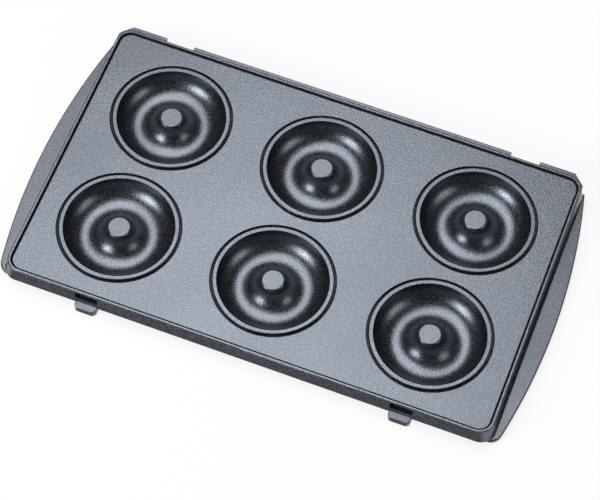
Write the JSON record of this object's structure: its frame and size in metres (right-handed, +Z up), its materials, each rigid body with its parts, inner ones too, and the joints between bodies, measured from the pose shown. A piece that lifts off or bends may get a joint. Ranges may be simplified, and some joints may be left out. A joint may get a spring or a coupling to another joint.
{
  "type": "donut maker plate",
  "caption": "Removable lower cooking plate of a mini donut maker: a shallow rimmed tray with ring-shaped donut cups, curved end grips, front lugs and a rear ledge.",
  "frame": {"origin": "middle of the plate's overall outline, on the surface that it stands on", "axes": "+X to the right along the plate, +Y to the side with the ledge, +Z up, out of the donut cups"},
  "size_m": [0.2322, 0.1342, 0.0107],
  "materials": {
    "plate": "satin",
    "cup": "satin",
    "post": "satin",
    "grip": "satin",
    "lug": "satin",
    "ledge": "satin"
  },
  "bodies": {
    "root": {"base_plate": "plate", "donut_cup_front_left": "cup", "donut_cup_front_center": "cup", "donut_cup_front_right": "cup", "donut_cup_rear_left": "cup", "donut_cup_rear_center": "cup", "donut_cup_rear_right": "cup", "center_post_front_left": "post", "center_post_front_center": "post", "center_post_front_right": "post", "center_post_rear_left": "post", "center_post_rear_center": "post", "center_post_rear_right": "post", "end_grip_left": "grip", "end_grip_right": "grip", "front_lug_left": "lug", "front_lug_right": "lug", "rear_ledge": "ledge", "rear_tab_left": "ledge", "rear_tab_right": "ledge"}
  },
  "joints": []
}
